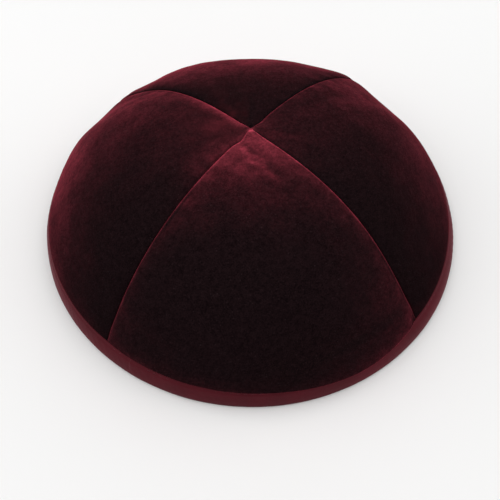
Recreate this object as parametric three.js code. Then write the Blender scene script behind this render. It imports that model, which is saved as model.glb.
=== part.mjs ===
// Kippah: a velvet skullcap of four sewn panels with a folded satin binding, standing on its rim.
// Millimetres, +Z up. The rim lies on Z = 0, and its middle is the origin.
// The front panel faces -Y, and the four seams lie halfway between the axes.

import * as THREE from 'three';

// The panels, in order round the crown from the one whose middle is on +X
const PANEL_NAMES = ['panel_right', 'panel_back', 'panel_left', 'panel_front'];

// Driving sizes
const RIM_DIAMETER = 172;
const CROWN_HEIGHT = 58;
const PANEL_FULLNESS = 1.2;
const CLOTH_WALL = 2;
const BINDING_HEIGHT = 9;
const BINDING_WALL = 0.8;
const BINDING_FOLD_RADIUS = 0.9;
const BINDING_EDGE_RADIUS = 0.3;
const CLEARANCE = 0.3;

// The cloth is pressed to this wall inside the binding, and swells out again above it. On the way
// out it passes one rounded step, given in shares of the whole swell.
const BOUND_WALL = 1.3;
const SWELL_HEIGHT = 1.5;
const SWELL_STEP = { height: 0.3, sunk: 0.35, wall: 0.9, roll: 0.5 };

// Each panel's edge is rolled down into its seam: how far down, and how wide the roll is.
const SEAM_DEPTH = 1;
const SEAM_ROLL = 4;

// The soft crown has settled a little to the left and to the front of the rim's middle.
const LEAN_LEFT = 1.1;
const LEAN_FRONT = 1.2;

// Profile of the crown over a quarter turn t from the rim to the middle:
// radius = rim radius x cos(t) ^ FLANK, height = crown height x sin(t) ^ SHOULDER.
const FLANK = 0.81;
const SHOULDER = 1.43;

// Soft dents. azimuth and spread are in degrees round the crown, from +X towards +Y. rise and reach
// are shares of the way from the rim (0) to the middle (1). depth is a share of the rim radius.
const DENTS = [
  { where: 'back panel, pressed flatter', azimuth: 87, spread: 26, rise: 0.44, reach: 0.21, depth: 0.056 },
  { where: 'right panel, low', azimuth: -20, spread: 26, rise: 0.4, reach: 0.17, depth: 0.038 },
  { where: 'crease behind the left seam', azimuth: 139, spread: 4.4, rise: 0.49, reach: 0.17, depth: 0.026 },
  { where: 'crease behind the right seam', azimuth: 28, spread: 4, rise: 0.49, reach: 0.17, depth: 0.012 },
];

// Share of the rise over which the binding holds the cloth round and upright.
const RIM_HOLD = 0.15;

// Fineness of the faceted surfaces
const CROWN_ROWS = 14;
const HALF_PANEL_COLUMNS = 7;
const SEAM_ROLL_COLUMNS = [0, 0.15, 0.5, 1];
const BINDING_COLUMNS = 72;

// Colours
const VELVET_COLOUR = 0x4a1622;
const SATIN_COLOUR = 0x6e2030;

// Sizes that follow from the ones above
const RIM_RADIUS = RIM_DIAMETER / 2;
const PANEL_TURN = (2 * Math.PI) / PANEL_NAMES.length;
const QUARTER_TURN = Math.PI / 2;
const SLOT_DEPTH = BINDING_WALL + CLEARANCE;
const INNER_LEAF_DEPTH = SLOT_DEPTH + BOUND_WALL + CLEARANCE;
const BINDING_DEPTH = INNER_LEAF_DEPTH + BINDING_WALL;

// The panels meet at the middle of the crown, where each one ends in a point this far out.
const POINT_RADIUS = CLEARANCE / 2 / Math.sin(PANEL_TURN / 2);

// Crown surface

function riseAtHeight(height) {
  return Math.asin((height / CROWN_HEIGHT) ** (1 / SHOULDER)) / QUARTER_TURN;
}

function riseAtRadius(radius) {
  return Math.acos((radius / RIM_RADIUS) ** (1 / FLANK)) / QUARTER_TURN;
}

// Radius, height and outward normal of the plain profile. The normal is level at the rim.
function profileAt(rise) {
  if (rise <= 0) {
    return { radius: RIM_RADIUS, height: 0, outward: 1, upward: 0 };
  }
  const turn = rise * QUARTER_TURN;
  const across = Math.cos(turn);
  const up = Math.sin(turn);
  const inwardRate = RIM_RADIUS * FLANK * across ** (FLANK - 1) * up;
  const upwardRate = CROWN_HEIGHT * SHOULDER * up ** (SHOULDER - 1) * across;
  const upward = (inwardRate / Math.hypot(inwardRate, upwardRate)) * Math.min(1, rise / RIM_HOLD);
  return {
    radius: RIM_RADIUS * across ** FLANK,
    height: CROWN_HEIGHT * up ** SHOULDER,
    outward: Math.sqrt(1 - upward ** 2),
    upward,
  };
}

function bell(distance, width) {
  return Math.exp(-0.5 * (distance / width) ** 2);
}

// How far the cloth stands out from the plain profile: full panels, less the dents, held at the rim.
function swellAt(azimuth, rise) {
  const fromMiddle = turnBetween(azimuth, nearestPanelMiddle(azimuth)) / (PANEL_TURN / 2);
  let swell = PANEL_FULLNESS * (1 - fromMiddle ** 2) * Math.sin(rise * Math.PI);
  for (const dent of DENTS) {
    const aside = THREE.MathUtils.radToDeg(turnBetween(azimuth, THREE.MathUtils.degToRad(dent.azimuth)));
    swell -= RIM_RADIUS * dent.depth * bell(aside, dent.spread) * bell(rise - dent.rise, dent.reach);
  }
  return swell * Math.min(1, rise / RIM_HOLD) ** 2;
}

function nearestPanelMiddle(azimuth) {
  return Math.round(azimuth / PANEL_TURN) * PANEL_TURN;
}

function turnBetween(azimuth, other) {
  const turn = azimuth - other;
  return Math.atan2(Math.sin(turn), Math.cos(turn));
}

// A point of the crown, at a depth under the cloth's outer surface.
function crownPoint(azimuth, rise, depth) {
  const profile = profileAt(rise);
  const out = swellAt(azimuth, rise) - depth;
  const radius = profile.radius + out * profile.outward;
  const lean = 1 - profile.radius / RIM_RADIUS;
  return new THREE.Vector3(
    radius * Math.cos(azimuth) - LEAN_LEFT * lean,
    radius * Math.sin(azimuth) - LEAN_FRONT * lean,
    profile.height + out * profile.upward,
  );
}

// Closed meshes

class ShellMesh {
  constructor() {
    this.positions = [];
    this.triangles = [];
  }

  vertex(point) {
    this.positions.push(point.x, point.y, point.z);
    return this.positions.length / 3 - 1;
  }

  triangle(a, b, c) {
    if (a !== b && b !== c && c !== a) {
      this.triangles.push(a, b, c);
    }
  }

  quad(a, b, c, d) {
    this.triangle(a, b, c);
    this.triangle(a, c, d);
  }

  geometry() {
    const geometry = new THREE.BufferGeometry();
    geometry.setAttribute('position', new THREE.Float32BufferAttribute(this.positions, 3));
    geometry.setIndex(this.triangles);
    geometry.computeVertexNormals();
    return geometry;
  }
}

// Panels

// The rows of a panel, from its raw edge in the binding to its point at the middle of the crown:
// depth is how far its outer face lies under the crown's surface, wall is its thickness there, and
// roll says how much of the seam's roll the row has.
function panelRows() {
  const bindingTop = BINDING_HEIGHT + CLEARANCE;
  const freeRise = riseAtHeight(bindingTop + SWELL_HEIGHT);
  const pointRise = riseAtRadius(POINT_RADIUS);
  const rows = [
    { rise: riseAtHeight(SLOT_DEPTH), depth: SLOT_DEPTH, wall: BOUND_WALL, roll: 0 },
    { rise: riseAtHeight((SLOT_DEPTH + bindingTop) / 2), depth: SLOT_DEPTH, wall: BOUND_WALL, roll: 0 },
    { rise: riseAtHeight(bindingTop), depth: SLOT_DEPTH, wall: BOUND_WALL, roll: 0 },
    {
      rise: riseAtHeight(bindingTop + SWELL_HEIGHT * SWELL_STEP.height),
      depth: SLOT_DEPTH * SWELL_STEP.sunk,
      wall: CLOTH_WALL * SWELL_STEP.wall,
      roll: SWELL_STEP.roll,
    },
  ];
  for (let row = 0; row <= CROWN_ROWS; row++) {
    const rise = THREE.MathUtils.lerp(freeRise, pointRise, row / CROWN_ROWS);
    rows.push({ rise, depth: 0, wall: CLOTH_WALL, roll: 1 });
  }
  return rows;
}

// Across a panel at one radius: the turn from the panel's middle and the depth of the seam's roll.
function panelColumns(radius) {
  const halfTurn = PANEL_TURN / 2 - Math.asin(CLEARANCE / 2 / radius);
  const rollTurn = Math.min(SEAM_ROLL / radius, halfTurn / 2);
  const half = SEAM_ROLL_COLUMNS.map((share) => ({
    turn: halfTurn - share * rollTurn,
    sunk: SEAM_DEPTH * (1 - Math.sqrt(1 - (1 - share) ** 2)) * ((rollTurn * radius) / SEAM_ROLL),
  }));
  for (let column = 1; column <= HALF_PANEL_COLUMNS; column++) {
    half.push({ turn: (halfTurn - rollTurn) * (1 - column / HALF_PANEL_COLUMNS), sunk: 0 });
  }
  const otherHalf = half.slice(0, -1).reverse();
  return [...half.map(({ turn, sunk }) => ({ turn: -turn, sunk })), ...otherHalf];
}

function panelGeometry(middle) {
  const shell = new ShellMesh();
  const rows = panelRows();
  const outside = [];
  const inside = [];
  rows.forEach(({ rise, depth, wall, roll }, row) => {
    if (row === rows.length - 1) {
      const outerPoint = shell.vertex(crownPoint(middle, rise, depth));
      const innerPoint = shell.vertex(crownPoint(middle, rise, depth + wall));
      outside.push(outside[0].map(() => outerPoint));
      inside.push(inside[0].map(() => innerPoint));
      return;
    }
    const columns = panelColumns(profileAt(rise).radius);
    outside.push(columns.map(({ turn, sunk }) => (
      shell.vertex(crownPoint(middle + turn, rise, depth + roll * sunk)))));
    inside.push(columns.map(({ turn }) => shell.vertex(crownPoint(middle + turn, rise, depth + wall))));
  });
  const last = outside[0].length - 1;
  for (let row = 0; row < rows.length - 1; row++) {
    const [outer, outerNext] = [outside[row], outside[row + 1]];
    const [inner, innerNext] = [inside[row], inside[row + 1]];
    for (let column = 0; column < last; column++) {
      shell.quad(outer[column], outer[column + 1], outerNext[column + 1], outerNext[column]);
      shell.quad(inner[column], innerNext[column], innerNext[column + 1], inner[column + 1]);
    }
    shell.quad(outer[0], outerNext[0], innerNext[0], inner[0]);
    shell.quad(outer[last], inner[last], innerNext[last], outerNext[last]);
  }
  for (let column = 0; column < last; column++) {
    shell.quad(outside[0][column], inside[0][column], inside[0][column + 1], outside[0][column + 1]);
  }
  return shell.geometry();
}

// Binding

// The folded tape's section, once round: up the outer leaf, down into the fold that holds the
// panels' edges, up and down the inner leaf, and along the flat foot that it stands on.
function bindingSection() {
  const top = BINDING_HEIGHT;
  const foot = BINDING_FOLD_RADIUS;
  const corner = foot * (1 - Math.SQRT1_2);
  return [
    { height: foot, depth: 0 },
    { height: top / 3, depth: 0 },
    { height: (top * 2) / 3, depth: 0 },
    { height: top - BINDING_EDGE_RADIUS, depth: 0 },
    { height: top, depth: BINDING_EDGE_RADIUS },
    { height: top, depth: BINDING_WALL },
    { height: top / 2, depth: BINDING_WALL },
    { height: BINDING_WALL, depth: BINDING_WALL },
    { height: BINDING_WALL, depth: INNER_LEAF_DEPTH },
    { height: top / 2, depth: INNER_LEAF_DEPTH },
    { height: top, depth: INNER_LEAF_DEPTH },
    { height: top, depth: BINDING_DEPTH },
    { height: (top * 2) / 3, depth: BINDING_DEPTH },
    { height: top / 3, depth: BINDING_DEPTH },
    { height: foot, depth: BINDING_DEPTH },
    { height: corner, depth: BINDING_DEPTH - corner },
    { height: 0, depth: BINDING_DEPTH - foot },
    { height: 0, depth: foot },
    { height: corner, depth: corner },
  ];
}

function bindingGeometry() {
  const shell = new ShellMesh();
  const section = bindingSection();
  const columns = [];
  for (let column = 0; column < BINDING_COLUMNS; column++) {
    const azimuth = (column / BINDING_COLUMNS) * 2 * Math.PI;
    columns.push(section.map(({ height, depth }) => (
      shell.vertex(crownPoint(azimuth, riseAtHeight(height), depth)))));
  }
  for (let column = 0; column < BINDING_COLUMNS; column++) {
    const here = columns[column];
    const next = columns[(column + 1) % BINDING_COLUMNS];
    for (let point = 0; point < section.length; point++) {
      const after = (point + 1) % section.length;
      shell.quad(here[point], next[point], next[after], here[after]);
    }
  }
  return shell.geometry();
}

// Assembly

function velvet() {
  return new THREE.MeshStandardMaterial({ color: VELVET_COLOUR, roughness: 0.95, metalness: 0 });
}

function satin() {
  return new THREE.MeshStandardMaterial({ color: SATIN_COLOUR, roughness: 0.55, metalness: 0 });
}

function sewnPiece(name, geometry, material) {
  const piece = new THREE.Mesh(geometry, material);
  piece.name = name;
  return piece;
}

const kippah = new THREE.Group();
PANEL_NAMES.forEach((name, panel) => {
  kippah.add(sewnPiece(name, panelGeometry(panel * PANEL_TURN), velvet()));
});
kippah.add(sewnPiece('rim_binding', bindingGeometry(), satin()));

export default kippah;
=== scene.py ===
"""A velvet kippah: four sewn panels and a folded satin binding, standing on its rim on a pale table."""

import math

import bpy
import numpy as np
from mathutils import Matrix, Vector


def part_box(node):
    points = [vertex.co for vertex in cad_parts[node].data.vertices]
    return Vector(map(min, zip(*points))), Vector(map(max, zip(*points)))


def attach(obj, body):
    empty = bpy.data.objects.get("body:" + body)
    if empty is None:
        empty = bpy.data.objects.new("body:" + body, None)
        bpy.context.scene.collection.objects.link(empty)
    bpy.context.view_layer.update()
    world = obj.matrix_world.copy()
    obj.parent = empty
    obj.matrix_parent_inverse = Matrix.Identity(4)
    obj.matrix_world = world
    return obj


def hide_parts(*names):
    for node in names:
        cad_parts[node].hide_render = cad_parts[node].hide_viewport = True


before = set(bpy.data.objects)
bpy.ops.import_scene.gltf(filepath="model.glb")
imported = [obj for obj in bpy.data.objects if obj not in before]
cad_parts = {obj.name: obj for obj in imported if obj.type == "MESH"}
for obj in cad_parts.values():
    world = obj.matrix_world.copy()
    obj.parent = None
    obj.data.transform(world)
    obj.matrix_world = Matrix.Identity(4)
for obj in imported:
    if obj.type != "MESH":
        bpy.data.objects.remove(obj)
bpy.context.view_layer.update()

MM = 0.001

# Sizes taken from the frame
RIM_LOW, RIM_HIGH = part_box("rim_binding")
RIM_RADIUS = (RIM_HIGH.x - RIM_LOW.x) / 2
CROWN_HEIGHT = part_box("panel_front")[1].z

# Crown, as the panels in the frame are shaped: radius = rim radius x cos(t) ^ FLANK,
# height = crown height x sin(t) ^ SHOULDER, where t runs through a quarter turn from the rim to
# the middle.
FLANK = 0.81
SHOULDER = 1.43
LEAN_LEFT = 1.1 * MM
LEAN_FRONT = 1.2 * MM
PANEL_FULLNESS = 1.2 * MM
RIM_HOLD = 0.15

# Cloth and binding
CLOTH_WALL = 2 * MM
BOUND_WALL = 1.3 * MM
BINDING_HEIGHT = 9 * MM
BINDING_WALL = 0.8 * MM
BINDING_FOLD = 0.9 * MM
CLEARANCE = 0.3 * MM
BOUND_WALL_TO = BINDING_HEIGHT + 0.5 * MM
SEAM_GAP = 0.02 * MM  # between two sewn panels
SLOT_DEPTH = BINDING_WALL + CLEARANCE
INNER_LEAF_DEPTH = SLOT_DEPTH + BOUND_WALL + CLEARANCE
BINDING_DEPTH = INNER_LEAF_DEPTH + BINDING_WALL

# Soft dents of the crown: azimuth and spread in degrees, rise and reach as shares of the way from
# the rim to the middle, depth in millimetres. A negative depth stands out.
DENTS = [
    {"azimuth": 90, "spread": 26, "rise": 0.45, "reach": 0.21, "depth": 4.6},
    {"azimuth": -20, "spread": 26, "rise": 0.40, "reach": 0.17, "depth": 3.25},
    {"azimuth": 139, "spread": 4.4, "rise": 0.49, "reach": 0.17, "depth": 2.2},
    {"azimuth": 28, "spread": 4.0, "rise": 0.49, "reach": 0.17, "depth": 1.0},
]

# The two back seams stand as ridges with sags beside them, and the left side dips a little. The
# keys are the same.
BACK_SEAM_RIDGES = [
    {"azimuth": 47, "spread": 4.5, "rise": 0.46, "reach": 0.13, "depth": -1.2},
    {"azimuth": 36, "spread": 4.0, "rise": 0.40, "reach": 0.13, "depth": 0.9},
    {"azimuth": 136, "spread": 4.5, "rise": 0.35, "reach": 0.13, "depth": -1.1},
    {"azimuth": 126, "spread": 5.0, "rise": 0.45, "reach": 0.13, "depth": 1.0},
    {"azimuth": 148, "spread": 5.0, "rise": 0.40, "reach": 0.14, "depth": 1.3},
    {"azimuth": 170, "spread": 7.0, "rise": 0.20, "reach": 0.13, "depth": 0.6},
]

# Creases and puckers, most of them round the middle of the crown, seen from above in millimetres:
# the ends of each one, how wide it is, and how far it sinks (or stands, if negative).
CREASES = [
    {"ends": ((-4.9, -9.6), (0.8, -15.6)), "width": 1.7, "sinks": 0.38},
    {"ends": ((-3.6, -13.6), (-0.4, -17.7)), "width": 1.5, "sinks": 0.26},
    {"ends": ((1.8, -17.6), (6.6, -24.4)), "width": 2.1, "sinks": 0.24},
    {"ends": ((2.6, -14.2), (9.0, -21.5)), "width": 3.2, "sinks": -0.16},
    {"ends": ((-4.6, -17.6), (1.6, -19.4)), "width": 1.4, "sinks": -0.16},
    {"ends": ((-4.4, -18.0), (-8.0, -26.0)), "width": 2.0, "sinks": -0.14},
    {"ends": ((-2.2, -20.5), (-2.9, -28.5)), "width": 2.6, "sinks": 0.14},
    {"ends": ((-6.3, -15.0), (-11.0, -23.5)), "width": 2.4, "sinks": 0.15},
    {"ends": ((-6.0, -8.2), (-3.6, -10.6)), "width": 1.2, "sinks": 0.30},
    {"ends": ((-9.0, 1.0), (-17.0, 6.5)), "width": 2.6, "sinks": 0.14},
    {"ends": ((-9.5, -3.5), (-19.0, -6.5)), "width": 2.8, "sinks": 0.15},
    {"ends": ((-13.0, -2.0), (-22.0, 0.5)), "width": 2.6, "sinks": -0.12},
    {"ends": ((5.5, -2.5), (15.0, -5.5)), "width": 2.8, "sinks": 0.12},
    {"ends": ((-34.0, 33.5), (-45.0, 36.5)), "width": 3.2, "sinks": 0.22},
    {"ends": ((-39.0, 28.5), (-50.0, 30.0)), "width": 3.6, "sinks": 0.18},
]
# The ends of a crease bend aside by this share of its length. Its length and its width are each
# this many spreads of a bell.
CREASE_BEND = 0.10
CREASE_SPREADS = 2.4

# Where a seam wavers from its line: its place seen from above, how far it is shifted, and over
# what reach, all in millimetres.
WAVERS = [
    {"place": (-5.0, -6.2), "shift": (0.6, -0.8), "reach": 1.9},
    {"place": (3.4, 1.6), "shift": (0.3, -0.4), "reach": 2.2},
]

# Seams: a tight roll down into the seam, a wide soft pull beside it, and small puckers along it.
# They grow shallower over the last few millimetres towards the middle of the crown.
SEAM_DEPTH = 0.42 * MM
SEAM_ROLL = 1.05 * MM
SEAM_PULL_DEPTH = 0.42 * MM
SEAM_PULL = 6 * MM
SEAM_SHALLOWS = 6 * MM
PUCKER_LENGTH = 7 * MM
PUCKER_HEIGHT = 0.16 * MM
PUCKER_STRETCH = 0.35
PUCKERS_WHOLLY_FROM = 1.2 * MM
PUCKERS_REACH = 1.1 * SEAM_PULL
PUCKER_SIDES_APART = 31 * MM

# Seam allowances: pressed strips inside the crown, which lie deeper where they pass the binding
ALLOWANCE_WIDTH = 7 * MM
ALLOWANCE_WALL = 0.7 * MM
ALLOWANCE_STARTS = 3 * MM
ALLOWANCE_TUCK = 1.6 * MM
ALLOWANCE_TUCKED_TO = BINDING_HEIGHT + 1.5 * MM

# Unevenness of the cloth: each wave's seed after the panel's own, and its length and height in
# millimetres. It starts a little way from a seam and above the binding.
UNEVENNESS = [
    {"seed": 20, "length": 26, "height": 0.16},
    {"seed": 40, "length": 9, "height": 0.05},
]
EVEN_BESIDE_SEAM = 1.5 * MM
EVEN_ABOVE_BINDING = 2.5 * MM

# The velvet swells over the binding's edge in a roll. It stands out past the tape, mostly at the
# front, and hangs lowest at the front panel's right-hand corner. Angles are in degrees.
ROLL_HEIGHT = 1.3 * MM
ROLL_STARTS = 0.1 * MM
OVERHANG = 0.8 * MM
OVERHANG_FADE = 11 * MM
OVERHANG_AT_FRONT = 1.15
OVERHANG_TURNED = 12
OVERHANG_BREADTH = 0.6
FULLER_PLACE = {"azimuth": -74, "spread": 16, "share": 0.7}
HANGING_CORNER = {"seam": -45, "starts": 3, "middle": 16, "spread": 12, "share": 1.3}
SAG = 2.4 * MM
SAG_AT_FRONT = 0.45
SAGS_FROM = 0.35 * MM
SAGS_WHOLLY_FROM = 0.95 * MM

# The tape's outer leaf is puffed between its edges, and finely rippled by the stitching. Its
# ripples run out towards the fold at the foot.
TAPE_PUFF = 0.40 * MM
TAPE_PUFF_BREADTH = 0.7
TAPE_SMOOTH_TO = 2 * MM
RIPPLE_HEIGHT = 0.045 * MM
RIPPLE_LENGTH = 3.4 * MM
RIPPLE_SLANT = 0.6
RIPPLE_DRIFT = 30 * MM
TAPE_WAVE_HEIGHT = 0.07 * MM
TAPE_WAVE_LENGTH = 17 * MM

# Stitches through the binding, in a shallow groove
STITCH_HEIGHT = 8.05 * MM
STITCH_PITCH = 2.7 * MM
STITCH_LENGTH = 2.0 * MM
STITCH_RADIUS = 0.13 * MM
STITCH_SLANT = 0.06 * MM
STITCH_SAG = 0.14 * MM
STITCH_LIFT = 0.02 * MM
GROOVE_DEPTH = 0.13 * MM
GROOVE_WIDTH = 0.45 * MM

# Where the tape's ends overlap: the step there, and how far it takes to level out
JOIN_AZIMUTH = math.radians(233)
JOIN_STEP = 0.14 * MM
JOIN_EDGE = 0.35 * MM
JOIN_FADE = 9 * MM

# How the pile lies on each panel: its lean towards the middle of the crown and its lean aside
# (anticlockwise seen from above, if negative) at NAP_RISE, and how these change with the rise,
# towards the seams, and right beside the seam at the back.
# The leaned normal also sets where the velvet's painted sheen falls.
NAP_RISE = 0.6
NAPS = {
    "panel_right": {
        "uphill": 0.20,
        "uphill_by_rise": 0.05,
        "at_seams": 0.10,
        "aside": 0.35,
        "aside_by_rise": -1.00,
        "beside_back_seam": 0.05,
    },
    "panel_back": {
        "uphill": 0.35,
        "uphill_by_rise": 0.05,
        "at_seams": 0.15,
        "aside": 0.10,
        "aside_by_rise": -0.75,
        "beside_back_seam": 0.0,
    },
    "panel_left": {
        "uphill": 0.15,
        "uphill_by_rise": 0.10,
        "at_seams": 0.30,
        "aside": -0.20,
        "aside_by_rise": 0.60,
        "beside_back_seam": 0.40,
    },
    "panel_front": {
        "uphill": 0.30,
        "uphill_by_rise": 0.10,
        "at_seams": 0.05,
        "aside": 0.0,
        "aside_by_rise": -0.05,
        "beside_back_seam": 0.0,
    },
}
BACK_SEAM_REACH = 2.2 * MM

# Painted light beside the middle of the crown, where it faces up: most towards the way given
# below, which is as long as it is strong, not at all where this is weaker than the threshold after
# it, and fading outwards
PAINTED_LIGHT_WAY = (-1.70, 1.00)
PAINTED_LIGHT_FROM = 0.72
PAINTED_LIGHT_REACH = 12.2 * MM
PAINTED_LIGHT_CENTRE = 2 * MM

# Painted shade along the seams, where the pile is tucked in: how far from a seam it reaches, less
# and less towards the middle of the crown, and the share of the painted sheen that it hides
TUCKED_WIDTH = 0.7 * MM
TUCKED_AT_RIM = 1.3
TUCKED_BY_RISE = -1.25
TUCKED_SHADE = 0.75

# Velvet. Painted sheen: where the pile is seen at a grazing angle, the base colour blends towards a
# bright red that stands in for the shine of the pile's ends. It falls off with the facing angle to
# the power of TIP_FALL, and at a grazing angle it covers TIP_SHARE of the colour, a little less or
# more where it is mottled.
TIP_FALL = 2.71
TIP_SHARE = 0.70
TIP_SHEEN_PAINTED = (0.92, 0.100, 0.165, 1)
ROOTS_DEEP = (0.0025, 0.0012, 0.0016, 1)
ROOTS_STROKED = (0.0036, 0.0017, 0.0022, 1)
ROOTS_GRAIN = (0.0118, 0.0056, 0.0066, 1)
# Painted glints on the pile
GLINT_PAINTED = (0.030, 0.019, 0.022, 1)
# Painted light beside the crown's middle, where it faces up
PAINTED_LIGHT_AT_MIDDLE = (0.040, 0.0068, 0.0092, 1)
STROKE_SIZE = 16 * MM
SCATTER_SIZE = 6 * MM
RUFFLE_SIZE = 11 * MM
CLUMP_SIZE = 1.8 * MM
TUFT_SIZE = 0.8 * MM
FIBRE_SIZE = 0.45 * MM
TUFT_RUFFLE = 0.34
WIDE_RUFFLE = 0.22
STROKED_LEAN = 0.12

# The velvet's noises: where grain, painted glints and mottling start and where they are whole, and
# how much mottling weakens or strengthens the painted sheen
GRAIN_SHARE = 0.60
GRAIN_RANGE = (0.36, 0.86)
GLINT_RANGE = (0.70, 0.84)
MOTTLED_RANGE = (0.32, 0.68)
MOTTLED_SHINE = (0.72, 1.28)

# Plain cloth, satin tape and thread
BACKING_DEEP = (0.060, 0.009, 0.015, 1)
BACKING_FADED = (0.082, 0.013, 0.021, 1)
BACKING_GAP = (0.025, 0.004, 0.007, 1)
BACKING_THREAD = 0.55 * MM
BACKING_RELIEF = 0.12 * MM
BACKING_PATCHES = 30 * MM
SATIN_DEEP = (0.074, 0.0080, 0.0126, 1)
SATIN_WORN = (0.094, 0.0104, 0.0164, 1)
SATIN_GAP = (0.034, 0.004, 0.007, 1)
SATIN_THREAD = 0.3 * MM
SATIN_RELIEF = 0.05 * MM
SATIN_PATCHES = 12 * MM
SLUB_SIZE = 1.2 * MM
SLUB_RELIEF = 0.10 * MM
THREAD_DEEP = (0.060, 0.008, 0.013, 1)
THREAD_FADED = (0.110, 0.020, 0.028, 1)
THREAD_PATCHES = 4 * MM
TWISTS = 900
TWIST_RELIEF = 0.05 * MM

# Table
TABLE_HALF = 3.0
TABLE_DULL = (0.82, 0.82, 0.818, 1)
TABLE_BRIGHT = (0.85, 0.85, 0.848, 1)
TABLE_PATCHES = 0.35

# Camera: where it stands round the cap, how far it is rolled, and how far in front of the cap's
# middle it aims. Lens in millimetres.
CAMERA_AZIMUTH = math.radians(-6.14)
CAMERA_ELEVATION = math.radians(56.28)
CAMERA_ROLL = math.radians(1.60)
CAMERA_DISTANCE = 0.3225
CAMERA_LENS = 55.55
CAMERA_SENSOR = 36
AIM_FORWARD = 0.0162

# A pale sky, and soft boxes round the cap: azimuth and elevation in degrees, side in metres, power
# in watts
SKY_COLOUR = (1, 1, 0.995, 1)
SKY_STRENGTH = 0.31
BOX_DISTANCE = 1.6
SOFT_BOXES = {
    "overhead_box": {"azimuth": 90, "elevation": 88, "side": 2.1, "power": 9.2},
    "left_box": {"azimuth": 176, "elevation": 42, "side": 1.95, "power": 16.8},
    "right_box": {"azimuth": 8, "elevation": 42, "side": 1.95, "power": 13.4},
    "back_box": {"azimuth": 90, "elevation": 26, "side": 1.4, "power": 4.8},
}

# Fineness of the cloth meshes
PANEL_ROWS = 132
SEAM_COLUMNS = 22
HALF_PANEL_COLUMNS = 50
SEAM_ZONE = 3.2 * MM
SEAM_CROWDING = 1.4
ROLL_ROWS = 12
ROLL_ROWS_FROM = -0.3 * MM
ROLL_ROWS_TO = 2.2 * MM
TUCKED_ROWS = (SLOT_DEPTH, 0.5 * BINDING_HEIGHT, 0.85 * BINDING_HEIGHT)
BINDING_COLUMNS = 540
JOIN_COLUMNS = 7
JOIN_COLUMNS_FROM = -0.4 * MM
JOIN_COLUMNS_TO = 0.8 * MM
JOIN_COLUMNS_CLEAR = 1.0 * MM
STITCH_RINGS = 7
STITCH_SIDES = 6

QUARTER_TURN = math.pi / 2
HALF_PANEL = QUARTER_TURN / 2

# Each panel's middle, in quarter turns from the right
PANEL_MIDDLES = {"panel_right": 0, "panel_back": 1, "panel_left": 2, "panel_front": 3}

# Seed of the right-hand panel's unevenness. The other panels' seeds follow on.
FIRST_SEED = 11

# Material slots of a panel's mesh
VELVET_SIDE = 0
BACKING_SIDE = 1


# Crown surface

def rise_at_height(height):
    return np.arcsin((height / CROWN_HEIGHT) ** (1 / SHOULDER)) / QUARTER_TURN


def rise_at_radius(radius):
    return np.arccos((radius / RIM_RADIUS) ** (1 / FLANK)) / QUARTER_TURN


def bell(distance, width):
    return np.exp(-0.5 * (distance / width) ** 2)


def turn_between(azimuth, other):
    turn = azimuth - other
    return np.arctan2(np.sin(turn), np.cos(turn))


def profile_at(rise):
    """Radius, height and outward normal of the plain profile."""
    turn = np.clip(rise, 1e-6, 1 - 1e-9) * QUARTER_TURN
    across, up = np.cos(turn), np.sin(turn)
    inward = RIM_RADIUS * FLANK * across ** (FLANK - 1) * up
    upward = CROWN_HEIGHT * SHOULDER * up ** (SHOULDER - 1) * across
    tilt = inward / np.hypot(inward, upward) * np.minimum(1, rise / RIM_HOLD)
    radius = RIM_RADIUS * across**FLANK
    height = np.where(rise <= 0, 0, CROWN_HEIGHT * up**SHOULDER)
    return radius, height, np.sqrt(1 - tilt**2), tilt


def swell_at(azimuth, rise):
    """How far the cloth stands out from the plain profile: full panels, less the dents."""
    middle = np.round(azimuth / QUARTER_TURN) * QUARTER_TURN
    across = turn_between(azimuth, middle) / HALF_PANEL
    swell = PANEL_FULLNESS * (1 - across**2) * np.sin(rise * math.pi)
    for dent in DENTS + BACK_SEAM_RIDGES:
        aside = np.degrees(turn_between(azimuth, math.radians(dent["azimuth"])))
        along = rise - dent["rise"]
        swell = swell - dent["depth"] * MM * bell(aside, dent["spread"]) * bell(along, dent["reach"])
    return swell * np.minimum(1, rise / RIM_HOLD) ** 2


def crown_point(azimuth, rise, depth):
    """Points of the crown, at a depth under the cloth's outer surface."""
    radius, height, outward, upward = profile_at(rise)
    out = swell_at(azimuth, rise) - depth
    lean = 1 - radius / RIM_RADIUS
    reach = radius + out * outward
    return np.stack(
        [
            reach * np.cos(azimuth) - LEAN_LEFT * lean,
            reach * np.sin(azimuth) - LEAN_FRONT * lean,
            height + out * upward,
        ],
        axis=-1,
    )


def crease_depth(x, y):
    """The creases and puckers, seen from above."""
    depth = np.zeros_like(x)
    for crease in CREASES:
        (start_x, start_y), (end_x, end_y) = crease["ends"]
        length = math.hypot(end_x - start_x, end_y - start_y)
        runs_x, runs_y = (end_x - start_x) / length, (end_y - start_y) / length
        from_x = x / MM - (start_x + end_x) / 2
        from_y = y / MM - (start_y + end_y) / 2
        along = from_x * runs_x + from_y * runs_y
        aside = from_y * runs_x - from_x * runs_y
        bend = CREASE_BEND * length * (2 * along / length) ** 2
        in_length = bell(along, length / CREASE_SPREADS)
        in_width = bell(aside - bend, crease["width"] / CREASE_SPREADS)
        depth += crease["sinks"] * MM * in_length * in_width
    return depth


def wavered(points):
    """The crown's points, shifted where a seam wavers from its line."""
    points = points.copy()
    for waver in WAVERS:
        away_x = points[..., 0] / MM - waver["place"][0]
        away_y = points[..., 1] / MM - waver["place"][1]
        share = bell(np.hypot(away_x, away_y), waver["reach"])
        points[..., 0] += share * waver["shift"][0] * MM
        points[..., 1] += share * waver["shift"][1] * MM
    return points


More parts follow.
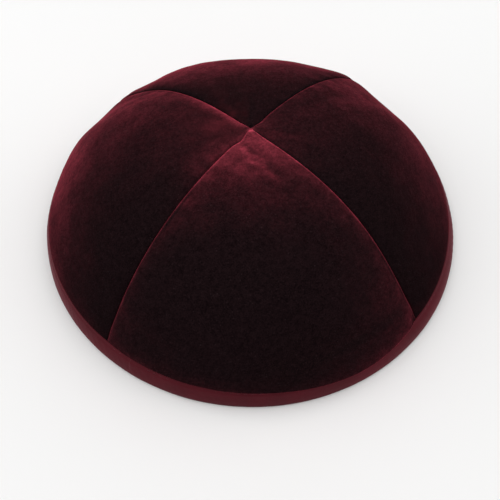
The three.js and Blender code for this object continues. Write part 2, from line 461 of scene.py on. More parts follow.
def waves(seed, length, x, y, count=9):
    """Smooth unevenness between -1 and 1, about one wave to each length."""
    source = np.random.default_rng(seed)
    total = np.zeros_like(x)
    for _ in range(count):
        runs = source.uniform(0, 2 * math.pi)
        pace = 2 * math.pi / (length * source.uniform(0.7, 1.5))
        total += np.sin((x * math.cos(runs) + y * math.sin(runs)) * pace + source.uniform(0, 2 * math.pi))
    return total / math.sqrt(count / 2) / 2


# Meshes

class ClothMesh:
    """Collects grids of points as quads, with a material, flat-pattern coordinates and nap for each. The
    nap's third value masks painted light and painted shade.
    """

    def __init__(self):
        self.points, self.faces, self.slots, self.patterns, self.naps = [], [], [], [], []
        self.count = 0

    def add_points(self, points, pattern, nap=None):
        shape = points.shape[:2]
        numbers = np.arange(self.count, self.count + shape[0] * shape[1]).reshape(shape)
        self.points.append(points.reshape(-1, 3))
        self.patterns.append(pattern.reshape(-1, 2))
        self.naps.append(np.zeros((numbers.size, 3)) if nap is None else nap.reshape(-1, 3))
        self.count += shape[0] * shape[1]
        return numbers

    def add_quads(self, a, b, c, d, slot=0):
        quads = np.stack([a.ravel(), b.ravel(), c.ravel(), d.ravel()], axis=1)
        self.faces.append(quads)
        self.slots.append(np.full(len(quads), slot))

    def add_grid(self, numbers, slot=0, turned=False):
        a, b = numbers[:-1, :-1], numbers[:-1, 1:]
        c, d = numbers[1:, 1:], numbers[1:, :-1]
        if turned:
            self.add_quads(a, d, c, b, slot)
        else:
            self.add_quads(a, b, c, d, slot)

    def close_end(self, ring, slot=0, turned=False):
        """Closes the end of a tube with a strip across its ring of points."""
        half = len(ring) // 2
        self.add_grid(np.stack([ring[:half], ring[::-1][:half]]), slot, turned)

    def build(self, name, materials):
        """Makes the piece from the points that faces use. Quads with a repeated corner are triangles."""
        used, quads = np.unique(np.concatenate(self.faces), return_inverse=True)
        quads = quads.reshape(-1, 4)
        points = np.concatenate(self.points)[used]
        patterns = np.concatenate(self.patterns)[used]
        naps = np.concatenate(self.naps)[used]
        slots = np.concatenate(self.slots)
        faces, face_slots = [], []
        for quad, slot in zip(quads.tolist(), slots.tolist()):
            corners = list(dict.fromkeys(quad))
            if len(corners) >= 3:
                faces.append(corners)
                face_slots.append(slot)
        mesh = bpy.data.meshes.new(name)
        mesh.from_pydata(points.tolist(), [], faces)
        for material in materials:
            mesh.materials.append(material)
        mesh.polygons.foreach_set("material_index", face_slots)
        mesh.polygons.foreach_set("use_smooth", [True] * len(faces))
        layer = mesh.uv_layers.new(name="pattern")
        corners = np.empty(len(mesh.loops), dtype=np.int64)
        mesh.loops.foreach_get("vertex_index", corners)
        layer.data.foreach_set("uv", patterns[corners].ravel())
        nap = mesh.attributes.new("nap", "FLOAT_VECTOR", "POINT")
        nap.data.foreach_set("vector", naps.ravel())
        mesh.update()
        piece = bpy.data.objects.new(name, mesh)
        bpy.context.scene.collection.objects.link(piece)
        return piece


# Panels

def panel_rise():
    """Rises of a panel's rows, closer together where the cloth swells out of the binding."""
    tuck = rise_at_height(np.array(TUCKED_ROWS))
    top = BINDING_HEIGHT + CLEARANCE
    roll = rise_at_height(top + np.linspace(ROLL_ROWS_FROM, ROLL_ROWS_TO, ROLL_ROWS))
    point = rise_at_radius(SEAM_GAP / 2 / math.sin(HALF_PANEL))
    steps = np.linspace(0, 1, PANEL_ROWS - len(tuck) - len(roll) + 1)[1:]
    return np.concatenate([tuck, roll, roll[-1] + (point - roll[-1]) * steps])


def panel_turns(radius):
    """Turns of a panel's columns from its middle at one radius, and their distance from the seam."""
    half_turn = HALF_PANEL - math.asin(min(math.sin(HALF_PANEL), SEAM_GAP / 2 / radius))
    close = min(SEAM_ZONE / radius, half_turn / 2)
    near = half_turn - close * np.linspace(0, 1, SEAM_COLUMNS) ** SEAM_CROWDING
    far = np.linspace(near[-1], 0, HALF_PANEL_COLUMNS + 1)[1:]
    half = np.concatenate([near, far])
    turns = np.concatenate([-half, half[:-1][::-1]])
    from_seam = radius * np.sin(np.maximum(0, half_turn - np.abs(turns)))
    return turns, from_seam


def panel_grid(name):
    """A panel's grid, with rows up the crown and columns from seam to seam."""
    rise = panel_rise()
    radius, height, _, _ = profile_at(rise)
    columns = [panel_turns(r) for r in radius]
    turns = np.array([turn for turn, _ in columns])
    steps = np.hypot(np.diff(radius), np.diff(height))
    along = np.concatenate([[0], np.cumsum(steps)])
    rows = {"rise": rise, "radius": radius, "height": height, "along": along}
    grid = {key: np.repeat(values[:, None], turns.shape[1], axis=1) for key, values in rows.items()}
    grid["turns"] = turns
    grid["from_seam"] = np.array([distance for _, distance in columns])
    grid["azimuth"] = PANEL_MIDDLES[name] * QUARTER_TURN + turns
    return grid


def binding_tuck(height):
    """How deep the velvet lies as it comes out of the binding, and how far it swells over the edge."""
    above = np.clip((height - BINDING_HEIGHT - ROLL_STARTS) / ROLL_HEIGHT, 0, 1)
    roll = 1 - np.sqrt(above * (2 - above))
    fade = np.clip((height - BINDING_HEIGHT - ROLL_HEIGHT) / OVERHANG_FADE, 0, 1)
    hangs = OVERHANG * (1 - fade**2 * (3 - 2 * fade))
    return SLOT_DEPTH * roll, hangs * (1 - roll)


def overhang_at(azimuth):
    """Shares of the overhang round the rim: along the front, and at the hanging corner."""
    towards_front = np.maximum(0, -np.sin(azimuth + math.radians(OVERHANG_TURNED)))
    from_fuller = np.degrees(turn_between(azimuth, math.radians(FULLER_PLACE["azimuth"])))
    front = OVERHANG_AT_FRONT * towards_front**OVERHANG_BREADTH
    front = front + FULLER_PLACE["share"] * bell(from_fuller, FULLER_PLACE["spread"])
    past_seam = np.degrees(turn_between(math.radians(HANGING_CORNER["seam"]), azimuth))
    corner = bell(past_seam - HANGING_CORNER["middle"], HANGING_CORNER["spread"])
    return front, corner * np.clip(past_seam / HANGING_CORNER["starts"], 0, 1)


def over_the_tape(grid):
    """How deep the velvet is tucked into the binding, how far it stands out past it, and its sag."""
    tuck, hangs = binding_tuck(grid["height"])
    front, corner = overhang_at(grid["azimuth"])
    stands = hangs * (front + HANGING_CORNER["share"] * corner) - tuck
    low = np.clip(1 - (grid["height"] - BINDING_HEIGHT - ROLL_HEIGHT) / OVERHANG_FADE, 0, 1)
    free = np.clip((stands - SAGS_FROM) / (SAGS_WHOLLY_FROM - SAGS_FROM), 0, 1) * low**2
    return tuck, stands, SAG * (SAG_AT_FRONT * front + corner) * free


def seam_depth(grid, seed):
    """The tight roll, the wide pull and the puckers beside a seam."""
    from_seam = grid["from_seam"]
    room = np.minimum(1, grid["radius"] / SEAM_SHALLOWS)
    inside = np.clip(1 - from_seam / (SEAM_ROLL * np.maximum(room, 0.05)), 0, 1)
    roll = SEAM_DEPTH * room * (1 - np.sqrt(1 - inside**2))
    pull = SEAM_PULL_DEPTH * room * np.clip(1 - from_seam / SEAM_PULL, 0, 1) ** 2
    side = np.where(grid["turns"] < 0, -1, 1)
    across = from_seam * PUCKER_STRETCH
    pucker = waves(seed, PUCKER_LENGTH, grid["along"] + side * PUCKER_SIDES_APART, across)
    fade = np.clip(1 - from_seam / PUCKERS_REACH, 0, 1) * np.clip(from_seam / PUCKERS_WHOLLY_FROM, 0, 1)
    return roll + pull - PUCKER_HEIGHT * room * pucker * fade


def cloth_depth(grid, x, y, seed):
    """How deep the velvet lies under the crown's plain surface: seams, creases and unevenness."""
    uneven = np.zeros_like(x)
    for wave in UNEVENNESS:
        uneven += wave["height"] * MM * waves(seed + wave["seed"], wave["length"] * MM, x, y)
    beside_seam = np.clip(grid["from_seam"] / EVEN_BESIDE_SEAM, 0, 1)
    above_binding = np.clip((grid["height"] - BINDING_HEIGHT) / EVEN_ABOVE_BINDING, 0, 1)
    return above_binding * (seam_depth(grid, seed) + beside_seam * (crease_depth(x, y) + uneven))


def painted_light_and_seam_shade(grid, x, y):
    """Mask of painted light beside the crown's middle, and of painted shade (negative) where the pile is
    tucked into a seam.
    """
    away_x = x + LEAN_LEFT
    away_y = y + LEAN_FRONT
    away = np.hypot(away_x, away_y)
    aside = (PAINTED_LIGHT_WAY[0] * away_x + PAINTED_LIGHT_WAY[1] * away_y) / (away + PAINTED_LIGHT_CENTRE)
    middle = bell(away, PAINTED_LIGHT_REACH) * np.maximum(0, aside - PAINTED_LIGHT_FROM)
    tucked = bell(grid["from_seam"], TUCKED_WIDTH)
    tucked = tucked * np.clip(TUCKED_AT_RIM + TUCKED_BY_RISE * grid["rise"], 0, 1)
    return np.clip(middle, 0, 1) - tucked


def nap_of(name, grid, x, y):
    """How the pile lies on a panel: its lean uphill and its lean aside, with the mask of painted light beside
    the middle and painted shade at the seams.
    """
    way = NAPS[name]
    past_middle = grid["rise"] - NAP_RISE
    across = grid["turns"] / HALF_PANEL
    uphill = way["uphill"] + way["uphill_by_rise"] * past_middle + way["at_seams"] * across**2
    towards_back = across * math.cos(PANEL_MIDDLES[name] * QUARTER_TURN)
    beside_seam = np.clip(2 * towards_back - 0.4, 0, 1) * bell(grid["from_seam"], BACK_SEAM_REACH)
    aside = way["aside"] + way["aside_by_rise"] * past_middle
    aside = aside - way["beside_back_seam"] * beside_seam * np.sign(across)
    return np.stack([uphill, aside, painted_light_and_seam_shade(grid, x, y)], axis=-1)


def panel_mesh(name, materials):
    """One closed piece of cloth: velvet outside, backing inside, rolled edges and seam allowances."""
    grid = panel_grid(name)
    azimuth, rise = grid["azimuth"], grid["rise"]
    plain = crown_point(azimuth, rise, 0)
    x, y = plain[..., 0], plain[..., 1]
    tuck, stands, sag = over_the_tape(grid)
    depth = cloth_depth(grid, x, y, FIRST_SEED + PANEL_MIDDLES[name])
    outer = wavered(crown_point(azimuth, rise, depth - stands))
    outer[..., 2] -= sag
    wall = np.where(grid["height"] < BOUND_WALL_TO, BOUND_WALL, CLOTH_WALL)
    inner = wavered(crown_point(azimuth, rise, tuck + wall))

    pattern = np.stack([grid["turns"] * grid["radius"], grid["along"]], axis=-1)
    shell = ClothMesh()
    outside = shell.add_points(outer, pattern, nap_of(name, grid, x, y))
    inside = shell.add_points(inner, pattern)
    outside[-1] = outside[-1, 0]
    inside[-1] = inside[-1, 0]
    shell.add_grid(outside, VELVET_SIDE)
    shell.add_grid(inside, BACKING_SIDE, turned=True)
    for column, turned in ((0, False), (-1, True)):
        edge_strip = np.stack([outside[:, column], inside[:, column]])
        shell.add_grid(edge_strip, VELVET_SIDE, turned=turned)
    shell.add_grid(np.stack([outside[0], inside[0]]), BACKING_SIDE, turned=True)
    for end in (-1, 1):
        add_allowance(shell, name, end, grid)
    return shell.build(name, materials)


def add_allowance(shell, name, end, grid):
    """The seam's allowance: a pressed strip of backing inside the crown, along one side of a panel."""
    first = int(np.searchsorted(grid["height"][:, 0], ALLOWANCE_STARTS))
    rise, radius, height, along = (grid[key][first:-2, :1] for key in ("rise", "radius", "height", "along"))
    half_turn = HALF_PANEL - SEAM_GAP / 2 / radius
    width = np.minimum(ALLOWANCE_WIDTH / radius, half_turn * 0.8)
    under = CLOTH_WALL + np.where(height < ALLOWANCE_TUCKED_TO, ALLOWANCE_TUCK, 0)

    # Once round the strip's section, with shares of its width and of its wall
    section = [(0, 0.02), (0.5, 0.02), (0.97, 0.02), (1, 0.4), (0.97, 1), (0.5, 1), (0.05, 1), (0, 0.8)]
    shares = np.array([share for share, _ in section])
    layers = np.array([layer for _, layer in section])
    turns = end * (half_turn - width * shares)
    azimuth = PANEL_MIDDLES[name] * QUARTER_TURN + turns
    points = crown_point(azimuth, rise + 0 * shares, under + ALLOWANCE_WALL * layers)
    pattern = np.stack([width * radius * shares, along + 0 * shares], axis=-1)
    strip = shell.add_points(points, pattern)
    loop = np.concatenate([strip, strip[:, :1]], axis=1)
    shell.add_grid(loop, BACKING_SIDE, turned=end > 0)
    for row, turned in ((0, end < 0), (-1, end > 0)):
        shell.close_end(strip[row], BACKING_SIDE, turned=turned)


# Binding

def arc(centre_height, centre_depth, radius, start, stop, count):
    angles = np.radians(np.linspace(start, stop, count))
    return [(centre_height + radius * math.cos(a), centre_depth - radius * math.sin(a)) for a in angles]


def binding_section():
    """Height and depth once round the folded tape, from the outer leaf's foot upwards."""
    top, wall, fold = BINDING_HEIGHT, BINDING_WALL, BINDING_FOLD
    section = [(h, 0) for h in np.linspace(fold, top - wall / 2, 26)]
    section += arc(top - wall / 2, wall / 2, wall / 2, 90, -90, 9)[1:]
    section += [(h, wall) for h in np.linspace(top - wall, wall, 7)]
    section += [(h, INNER_LEAF_DEPTH) for h in np.linspace(wall, top - wall, 7)]
    section += arc(top - wall / 2, INNER_LEAF_DEPTH + wall / 2, wall / 2, 90, -90, 9)
    section += [(h, BINDING_DEPTH) for h in np.linspace(top - wall / 2, fold, 14)[1:]]
    section += arc(fold, BINDING_DEPTH - fold, fold, 270, 180, 6)[1:]
    section += arc(fold, fold, fold, 180, 90, 6)[:-1]
    return np.array(section)


def tape_relief(azimuth, height, depth):
    """How far the tape stands out from its plain section: puff, ripples, stitch groove and join."""
    around = turn_between(azimuth, 0) * RIM_RADIUS
    on_outer_leaf = (depth < BINDING_WALL / 2).astype(float)
    groove = GROOVE_DEPTH * bell(height - STITCH_HEIGHT, GROOVE_WIDTH)
    groove = groove * (0.75 + 0.25 * np.cos(around / STITCH_PITCH * 2 * math.pi))
    between_edges = np.sin(np.clip(height / BINDING_HEIGHT, 0, 1) * math.pi)
    puff = TAPE_PUFF * between_edges**TAPE_PUFF_BREADTH
    drift = 2 * waves(5, RIPPLE_DRIFT, around, height)
    ripple = np.sin((around + RIPPLE_SLANT * height) / RIPPLE_LENGTH * 2 * math.pi + drift)
    ripple = RIPPLE_HEIGHT * ripple * between_edges
    ripple = ripple + TAPE_WAVE_HEIGHT * waves(6, TAPE_WAVE_LENGTH, around, 0.3 * height)
    past_join = turn_between(azimuth, JOIN_AZIMUTH) * RIM_RADIUS
    join = JOIN_STEP * np.clip(1 - past_join / JOIN_FADE, 0, 1) * np.clip(past_join / JOIN_EDGE, 0, 1)
    above_fold = np.clip(height / TAPE_SMOOTH_TO, 0, 1)
    return on_outer_leaf * (puff + ripple * above_fold - groove + join * above_fold)


def binding_azimuths():
    """Even steps round the rim, with a few close ones at the tape's join."""
    even = np.linspace(0, 2 * math.pi, BINDING_COLUMNS, endpoint=False)
    close = JOIN_AZIMUTH + np.linspace(JOIN_COLUMNS_FROM, JOIN_COLUMNS_TO, JOIN_COLUMNS) / RIM_RADIUS
    middle = (JOIN_COLUMNS_FROM + JOIN_COLUMNS_TO) / 2
    from_middle = np.abs(turn_between(even, JOIN_AZIMUTH + middle / RIM_RADIUS)) * RIM_RADIUS
    return np.sort(np.concatenate([even[from_middle > JOIN_COLUMNS_CLEAR], close]))


def binding_mesh(materials):
    section = binding_section()
    azimuths = binding_azimuths()
    azimuth = np.repeat(azimuths[:, None], len(section), axis=1)
    height = np.repeat(section[None, :, 0], len(azimuths), axis=0)
    depth = np.repeat(section[None, :, 1], len(azimuths), axis=0)
    rise = rise_at_height(np.maximum(height, 0))
    points = crown_point(azimuth, rise, depth - tape_relief(azimuth, height, depth))
    lengths = np.hypot(*np.diff(section, axis=0, append=section[:1]).T)
    across = np.concatenate([[0], np.cumsum(lengths)[:-1]])
    pattern = np.stack([azimuth * RIM_RADIUS, np.repeat(across[None, :], len(azimuths), axis=0)], axis=-1)
    tape = ClothMesh()
    numbers = tape.add_points(points, pattern)
    looped = np.concatenate([numbers, numbers[:, :1]], axis=1)
    looped = np.concatenate([looped, looped[:1]], axis=0)
    tape.add_grid(looped, 0, turned=True)
    return tape.build("rim_binding_tape", materials)


def stitching_mesh(materials):
    """One row of thread stitches through the binding, on its outer and its inner leaf."""
    count = round(2 * math.pi * RIM_RADIUS / STITCH_PITCH)
    along = np.linspace(-1, 1, STITCH_RINGS)
    girth = np.sqrt(1 - (along * 0.97) ** 2)
    sides = np.linspace(0, 2 * math.pi, STITCH_SIDES, endpoint=False)
    thread = ClothMesh()
    for leaf_depth, face in ((-STITCH_LIFT, 1), (BINDING_DEPTH + STITCH_LIFT, -1)):
        for stitch in range(count):
            middle = (stitch + 0.5) / count * 2 * math.pi
            azimuth = middle + along[:, None] * STITCH_LENGTH / 2 / RIM_RADIUS + 0 * sides
            around = STITCH_RADIUS * girth[:, None]
            height = STITCH_HEIGHT + around * np.cos(sides) + STITCH_SLANT * along[:, None]
            sag = STITCH_SAG * along[:, None] ** 2 * face
            depth = leaf_depth + sag - face * around * np.sin(sides)
            points = crown_point(azimuth, rise_at_height(height), depth)
            pattern = np.stack([azimuth * RIM_RADIUS, height], axis=-1)
            numbers = thread.add_points(points, pattern)
            thread.add_grid(np.concatenate([numbers, numbers[:, :1]], axis=1), 0, turned=face < 0)
            for row, turned in ((0, face > 0), (-1, face < 0)):
                thread.close_end(numbers[row], 0, turned=turned)
    return thread.build("rim_stitching", materials)


# Shader node helpers

def add_node(tree, kind, **settings):
    node = tree.nodes.new(kind)
    for key, value in settings.items():
        setattr(node, key, value)
    return node


def join(tree, value, socket):
    """Links an output to a socket, or sets the socket's own value."""
    if isinstance(value, bpy.types.NodeSocket):
        tree.links.new(value, socket)
    else:
        socket.default_value = value


def maths(tree, operation, a, b=0.0, c=0.0, clamp=False):
    node = add_node(tree, "ShaderNodeMath", operation=operation, use_clamp=clamp)
    for socket, value in zip(node.inputs, (a, b, c)):
        join(tree, value, socket)
    return node.outputs[0]


def vectors(tree, operation, a, b=(0, 0, 0), scale=1.0):
    node = add_node(tree, "ShaderNodeVectorMath", operation=operation)
    join(tree, a, node.inputs[0])
    if operation == "SCALE":
        join(tree, scale, node.inputs["Scale"])
    elif operation != "NORMALIZE":
        join(tree, b, node.inputs[1])
    return node.outputs["Value" if operation == "DOT_PRODUCT" else "Vector"]


def noise(tree, where, size, detail=2.0, roughness=0.5):
    """Noise with features about the given size in metres."""
    node = add_node(tree, "ShaderNodeTexNoise")
    join(tree, where, node.inputs["Vector"])
    if isinstance(size, bpy.types.NodeSocket):
        join(tree, maths(tree, "DIVIDE", 1.0, size), node.inputs["Scale"])
    else:
        node.inputs["Scale"].default_value = 1 / size
    node.inputs["Detail"].default_value = detail
    node.inputs["Roughness"].default_value = roughness
    return node


def blend_colours(tree, share, a, b):
    node = add_node(tree, "ShaderNodeMix", data_type="RGBA")
    join(tree, share, node.inputs["Factor"])
    join(tree, a, node.inputs["A"])
    join(tree, b, node.inputs["B"])
    return node.outputs["Result"]


def rescale(tree, value, low, high, to_low=0.0, to_high=1.0):
    node = add_node(tree, "ShaderNodeMapRange", interpolation_type="SMOOTHSTEP")
    for socket, number in zip(node.inputs, (value, low, high, to_low, to_high)):
        join(tree, number, socket)
    return node.outputs[0]


def bump(tree, height, distance, strength=1.0, normal=None):
    node = add_node(tree, "ShaderNodeBump")
    join(tree, height, node.inputs["Height"])
    node.inputs["Distance"].default_value = distance
    join(tree, strength, node.inputs["Strength"])
    if normal is not None:
        join(tree, normal, node.inputs["Normal"])
    return node.outputs["Normal"]


def new_group(name, inputs, outputs):
    """An empty shader node group with named sockets: inputs are (name, kind, value)."""
    group = bpy.data.node_groups.new(name, "ShaderNodeTree")
    for label, kind, value in inputs:
        socket = group.interface.new_socket(name=label, in_out="INPUT", socket_type=kind)
        if value is not None:
            socket.default_value = value
    for label, kind in outputs:
        group.interface.new_socket(name=label, in_out="OUTPUT", socket_type=kind)
    entry = group.nodes.new("NodeGroupInput")
    leaving = group.nodes.new("NodeGroupOutput")
    return group, entry.outputs, leaving.inputs


def place_group(tree, group, **values):
    """A group placed in a material. Keyword names are socket names with _ for spaces."""
    node = tree.nodes.new("ShaderNodeGroup")
    node.node_tree = group
    for key, value in values.items():
        join(tree, value, node.inputs[key.replace("_", " ")])
    return node.outputs


FLOAT, VECTOR = "NodeSocketFloat", "NodeSocketVector"


# Shared effects

def soft_patches():
    """Cloudy patches, as where cloth has been stroked, pressed or faded."""
    group, given, made = new_group(
        "soft patches",
        [("Place", VECTOR, None), ("Size", FLOAT, 0.02), ("Sharpness", FLOAT, 0.5)],
        [("Mask", FLOAT)],
    )
    wide = noise(group, given["Place"], given["Size"], detail=3, roughness=0.55).outputs["Fac"]
    spread = maths(group, "MULTIPLY_ADD", given["Sharpness"], -0.25, 0.3)
    low = maths(group, "SUBTRACT", 0.5, spread)
    high = maths(group, "ADD", 0.5, spread)
    join(group, rescale(group, wide, low, high), made["Mask"])
    return group


def woven_threads():
    """A plain weave in flat-pattern coordinates: height of the threads and the gaps between them."""
    group, given, made = new_group(
        "woven threads",
        [("Pattern", VECTOR, None), ("Thread", FLOAT, 0.0004), ("Turn", FLOAT, 0.0)],
        [("Height", FLOAT), ("Gap", FLOAT)],
    )
    turned = add_node(group, "ShaderNodeVectorRotate", rotation_type="Z_AXIS")
    join(group, given["Pattern"], turned.inputs["Vector"])
    join(group, given["Turn"], turned.inputs["Angle"])
    apart = add_node(group, "ShaderNodeSeparateXYZ")
    join(group, turned.outputs[0], apart.inputs[0])
    pace = maths(group, "DIVIDE", math.pi, given["Thread"])
    warp = maths(group, "SINE", maths(group, "MULTIPLY", apart.outputs[0], pace))
    weft = maths(group, "SINE", maths(group, "MULTIPLY", apart.outputs[1], pace))
    crossing = maths(group, "MULTIPLY", warp, weft)
    join(group, maths(group, "MULTIPLY_ADD", crossing, 0.5, 0.5), made["Height"])
    hollow = maths(group, "SUBTRACT", 1.0, maths(group, "ABSOLUTE", crossing))
    join(group, maths(group, "POWER", hollow, 3.0), made["Gap"])
    return group


def leaning_pile():
    """The way the pile stands: leaned uphill, leaned aside, and ruffled."""
    group, given, made = new_group(
        "leaning pile",
        [
            ("Place", VECTOR, None),
            ("Normal", VECTOR, None),
            ("Crown Middle", VECTOR, None),
            ("Uphill", FLOAT, 0.3),
            ("Aside", FLOAT, 0.0),
            ("Ruffle", VECTOR, None),
        ],
        [("Normal", VECTOR)],
    )
    to_middle = vectors(group, "SUBTRACT", given["Crown Middle"], given["Place"])
    out = vectors(group, "DOT_PRODUCT", to_middle, given["Normal"])
    level = vectors(group, "SUBTRACT", to_middle, vectors(group, "SCALE", given["Normal"], scale=out))
    uphill = vectors(group, "NORMALIZE", level)
    aside = vectors(group, "CROSS_PRODUCT", given["Normal"], uphill)
    leaned = vectors(group, "ADD", given["Normal"], vectors(group, "SCALE", uphill, scale=given["Uphill"]))
    leaned = vectors(group, "ADD", leaned, vectors(group, "SCALE", aside, scale=given["Aside"]))
    ruffled = vectors(group, "ADD", leaned, given["Ruffle"])
    join(group, vectors(group, "NORMALIZE", ruffled), made["Normal"])
    return group


# Materials

def new_material(name):
    material = bpy.data.materials.new(name)
    material.use_nodes = True
    tree = material.node_tree
    tree.nodes.clear()
    shader = tree.nodes.new("ShaderNodeBsdfPrincipled")
    output = tree.nodes.new("ShaderNodeOutputMaterial")
    tree.links.new(shader.outputs[0], output.inputs[0])
    return material, tree, shader


def set_shader(shader, specular, roughness=None):
    """Values that are the same all over. Roughness is left alone where nodes feed it."""
    shader.inputs["Specular IOR Level"].default_value = specular
    if roughness is not None:
        shader.inputs["Roughness"].default_value = roughness


def set_sheen(shader, weight, roughness, tint):
    shader.inputs["Sheen Weight"].default_value = weight
    shader.inputs["Sheen Roughness"].default_value = roughness
    shader.inputs["Sheen Tint"].default_value = tint


def ruffled_pile(tree, place, tufts):
    """How the pile is ruffled: finely by its tufts, and widely where it was stroked."""
    fine = vectors(tree, "SUBTRACT", tufts, (0.5, 0.5, 0.5))
    fine = vectors(tree, "SCALE", fine, scale=TUFT_RUFFLE)
    wide = noise(tree, place, RUFFLE_SIZE, detail=2).outputs["Color"]
    wide = vectors(tree, "SUBTRACT", wide, (0.5, 0.5, 0.5))
    return vectors(tree, "ADD", fine, vectors(tree, "SCALE", wide, scale=WIDE_RUFFLE))


def velvet_material(patches, pile):
    material, tree, shader = new_material("burgundy velvet")
    place = add_node(tree, "ShaderNodeTexCoord").outputs["Object"]
    normal = add_node(tree, "ShaderNodeNewGeometry").outputs["Normal"]
    nap = add_node(tree, "ShaderNodeSeparateXYZ")
    join(tree, add_node(tree, "ShaderNodeAttribute", attribute_name="nap").outputs["Vector"], nap.inputs[0])
    # The nap's third value: painted light beside the crown's middle where positive, painted shade along the
    # seams where negative
    leans_uphill, leans_aside, pressed = nap.outputs

    stroked = place_group(tree, patches, Place=place, Size=STROKE_SIZE, Sharpness=0.2)["Mask"]
    scattered = place_group(tree, patches, Place=place, Size=SCATTER_SIZE, Sharpness=0.6)["Mask"]
    tufts = noise(tree, place, TUFT_SIZE, detail=3, roughness=0.7).outputs["Color"]
    fibres = noise(tree, place, FIBRE_SIZE, detail=1).outputs["Fac"]
    clumps = noise(tree, place, CLUMP_SIZE, detail=4, roughness=0.7).outputs["Fac"]

    standing = place_group(
        tree,
        pile,
        Place=place,
        Normal=normal,
        Crown_Middle=(-LEAN_LEFT, -LEAN_FRONT, CROWN_HEIGHT),
        Uphill=maths(tree, "MULTIPLY_ADD", maths(tree, "SUBTRACT", stroked, 0.5), STROKED_LEAN, leans_uphill),
        Aside=leans_aside,
        Ruffle=ruffled_pile(tree, place, tufts),
    )["Normal"]

    grain = maths(tree, "MULTIPLY_ADD", clumps, GRAIN_SHARE, maths(tree, "MULTIPLY", fibres, GRAIN_SHARE))
    roots = blend_colours(tree, stroked, ROOTS_DEEP, ROOTS_STROKED)
    roots = blend_colours(tree, rescale(tree, grain, *GRAIN_RANGE), roots, ROOTS_GRAIN)
    # Painted glints: pale specks where the fine noise is high
    roots = blend_colours(tree, rescale(tree, fibres, *GLINT_RANGE), roots, GLINT_PAINTED)
    # Painted light beside the crown's middle, lifting the roots' colour
    painted_light_share = maths(tree, "MULTIPLY_ADD", scattered, 1.1, 0.45)
    painted_light_share = maths(tree, "MULTIPLY", pressed, painted_light_share, clamp=True)
    roots = blend_colours(tree, painted_light_share, roots, PAINTED_LIGHT_AT_MIDDLE)

    # Painted sheen: the base colour blends towards a bright red as the leaned pile is seen at a grazing angle
    grazing = add_node(tree, "ShaderNodeLayerWeight")
    join(tree, standing, grazing.inputs["Normal"])
    painted_sheen_share = maths(tree, "POWER", grazing.outputs["Facing"], TIP_FALL)
    # Painted shade along the seams: it hides part of the painted sheen
    tucked = maths(tree, "MULTIPLY", pressed, maths(tree, "MULTIPLY_ADD", clumps, 1.2, 0.25))
    tucked = maths(tree, "MULTIPLY", tucked, TUCKED_SHADE)
    shows = maths(tree, "ADD", 1.0, maths(tree, "MINIMUM", tucked, 0.0), clamp=True)
    shows = maths(tree, "MULTIPLY", shows, rescale(tree, clumps, *MOTTLED_RANGE, *MOTTLED_SHINE))
    painted_sheen_share = maths(tree, "MULTIPLY", painted_sheen_share, maths(tree, "MULTIPLY", shows, TIP_SHARE), clamp=True)

    join(tree, blend_colours(tree, painted_sheen_share, roots, TIP_SHEEN_PAINTED), shader.inputs["Base Color"])
    join(tree, standing, shader.inputs["Normal"])
    set_shader(shader, roughness=0.9, specular=0.02)
    set_sheen(shader, weight=0.09, roughness=0.40, tint=(1.0, 0.12, 0.19, 1))
    return material


def backing_material(patches, weave):
    material, tree, shader = new_material("plain cotton backing")
    pattern = add_node(tree, "ShaderNodeUVMap", uv_map="pattern").outputs[0]
    place = add_node(tree, "ShaderNodeTexCoord").outputs["Object"]
    threads = place_group(tree, weave, Pattern=pattern, Thread=BACKING_THREAD, Turn=0.0)
    faded = place_group(tree, patches, Place=place, Size=BACKING_PATCHES, Sharpness=0.3)["Mask"]
    colour = blend_colours(tree, faded, BACKING_DEEP, BACKING_FADED)
    colour = blend_colours(tree, maths(tree, "MULTIPLY", threads["Gap"], 0.5), colour, BACKING_GAP)
    join(tree, colour, shader.inputs["Base Color"])
    join(tree, bump(tree, threads["Height"], BACKING_RELIEF, 0.7), shader.inputs["Normal"])
    set_shader(shader, roughness=0.85, specular=0.2)
    set_sheen(shader, weight=0.15, roughness=0.5, tint=(0.8, 0.3, 0.36, 1))
    return material


def satin_material(patches, weave):
    material, tree, shader = new_material("burgundy satin tape")
    pattern = add_node(tree, "ShaderNodeUVMap", uv_map="pattern").outputs[0]
    place = add_node(tree, "ShaderNodeTexCoord").outputs["Object"]
    threads = place_group(tree, weave, Pattern=pattern, Thread=SATIN_THREAD, Turn=math.radians(45))
    worn = place_group(tree, patches, Place=place, Size=SATIN_PATCHES, Sharpness=0.2)["Mask"]
    colour = blend_colours(tree, worn, SATIN_DEEP, SATIN_WORN)
    colour = blend_colours(tree, maths(tree, "MULTIPLY", threads["Gap"], 0.35), colour, SATIN_GAP)
    join(tree, colour, shader.inputs["Base Color"])
    join(tree, maths(tree, "MULTIPLY_ADD", worn, 0.1, 0.45), shader.inputs["Roughness"])
    stretched = vectors(tree, "MULTIPLY", pattern, (0.2, 1.6, 1))
    slubs = noise(tree, stretched, SLUB_SIZE, detail=2).outputs["Fac"]
    normal = bump(tree, slubs, SLUB_RELIEF, 0.4)
    join(tree, bump(tree, threads["Height"], SATIN_RELIEF, 0.5, normal), shader.inputs["Normal"])
    set_shader(shader, specular=0.04)
    set_sheen(shader, weight=0.16, roughness=0.35, tint=(1.0, 0.16, 0.28, 1))
    return material


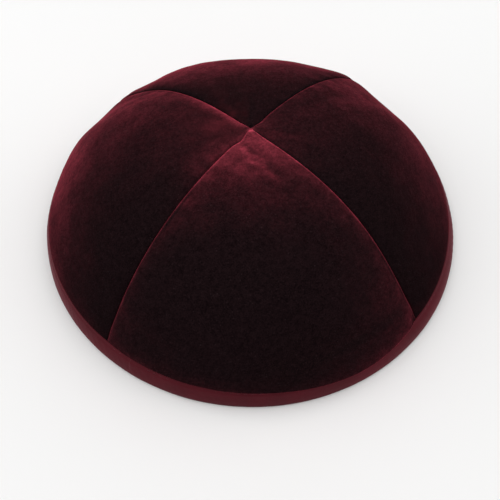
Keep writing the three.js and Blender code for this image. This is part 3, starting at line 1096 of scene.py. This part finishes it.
def thread_material(patches):
    material, tree, shader = new_material("burgundy thread")
    pattern = add_node(tree, "ShaderNodeUVMap", uv_map="pattern").outputs[0]
    place = add_node(tree, "ShaderNodeTexCoord").outputs["Object"]
    faded = place_group(tree, patches, Place=place, Size=THREAD_PATCHES, Sharpness=0.4)["Mask"]
    join(tree, blend_colours(tree, faded, THREAD_DEEP, THREAD_FADED), shader.inputs["Base Color"])
    twist = add_node(tree, "ShaderNodeTexWave", wave_type="BANDS", bands_direction="DIAGONAL")
    join(tree, pattern, twist.inputs["Vector"])
    twist.inputs["Scale"].default_value = TWISTS
    join(tree, bump(tree, twist.outputs["Fac"], TWIST_RELIEF, 0.6), shader.inputs["Normal"])
    set_shader(shader, roughness=0.5, specular=0.15)
    return material


def table_material():
    material, tree, shader = new_material("pale table")
    place = add_node(tree, "ShaderNodeTexCoord").outputs["Object"]
    grain = noise(tree, place, TABLE_PATCHES, detail=1).outputs["Fac"]
    join(tree, blend_colours(tree, grain, TABLE_DULL, TABLE_BRIGHT), shader.inputs["Base Color"])
    set_shader(shader, roughness=0.8, specular=0.1)
    return material


# Camera, light and table

def place_camera():
    out = Vector((math.sin(CAMERA_AZIMUTH), -math.cos(CAMERA_AZIMUTH), 0))
    aim = out * AIM_FORWARD
    away = out * math.cos(CAMERA_ELEVATION) + Vector((0, 0, math.sin(CAMERA_ELEVATION)))
    camera = bpy.data.objects.new("camera", bpy.data.cameras.new("camera"))
    bpy.context.scene.collection.objects.link(camera)
    camera.location = aim + away * CAMERA_DISTANCE
    facing = away.to_track_quat("Z", "Y")
    camera.rotation_euler = facing.to_euler()
    camera.rotation_euler.rotate_axis("Z", CAMERA_ROLL)
    camera.data.lens = CAMERA_LENS
    camera.data.sensor_width = CAMERA_SENSOR
    bpy.context.scene.camera = camera


def hang_soft_box(name, azimuth, elevation, side, power):
    lamp = bpy.data.lights.new(name, "AREA")
    lamp.shape = "SQUARE"
    lamp.size = side
    lamp.energy = power
    box = bpy.data.objects.new(name, lamp)
    bpy.context.scene.collection.objects.link(box)
    turn, lift = math.radians(azimuth), math.radians(elevation)
    away = Vector((math.cos(turn) * math.cos(lift), math.sin(turn) * math.cos(lift), math.sin(lift)))
    box.location = away * BOX_DISTANCE
    box.rotation_euler = away.to_track_quat("Z", "Y").to_euler()


def light_the_room():
    world = bpy.data.worlds.new("studio")
    bpy.context.scene.world = world
    world.use_nodes = True
    sky = world.node_tree.nodes["Background"]
    sky.inputs["Color"].default_value = SKY_COLOUR
    sky.inputs["Strength"].default_value = SKY_STRENGTH
    for name, box in SOFT_BOXES.items():
        hang_soft_box(name, **box)


def lay_table():
    mesh = bpy.data.meshes.new("table")
    corners = [(-1, -1), (1, -1), (1, 1), (-1, 1)]
    mesh.from_pydata([(x * TABLE_HALF, y * TABLE_HALF, 0) for x, y in corners], [], [(0, 1, 2, 3)])
    mesh.materials.append(table_material())
    table = bpy.data.objects.new("table", mesh)
    bpy.context.scene.collection.objects.link(table)


# Assembly

def dress():
    patches, weave, pile = soft_patches(), woven_threads(), leaning_pile()
    velvet = velvet_material(patches, pile)
    backing = backing_material(patches, weave)
    satin = satin_material(patches, weave)
    thread = thread_material(patches)
    for name in PANEL_MIDDLES:
        panel = panel_mesh(name, [velvet, backing])
        panel.name = name + "_cloth"
        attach(panel, "root")
        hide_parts(name)
    tape = binding_mesh([satin])
    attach(tape, "root")
    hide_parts("rim_binding")
    stitching = stitching_mesh([thread])
    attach(stitching, "root")
    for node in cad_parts.values():
        finish = satin if node.name.startswith("rim") else velvet
        node.data.materials.clear()
        node.data.materials.append(finish)


bpy.context.scene.view_settings.view_transform = "Standard"
place_camera()
light_the_room()
lay_table()
dress()
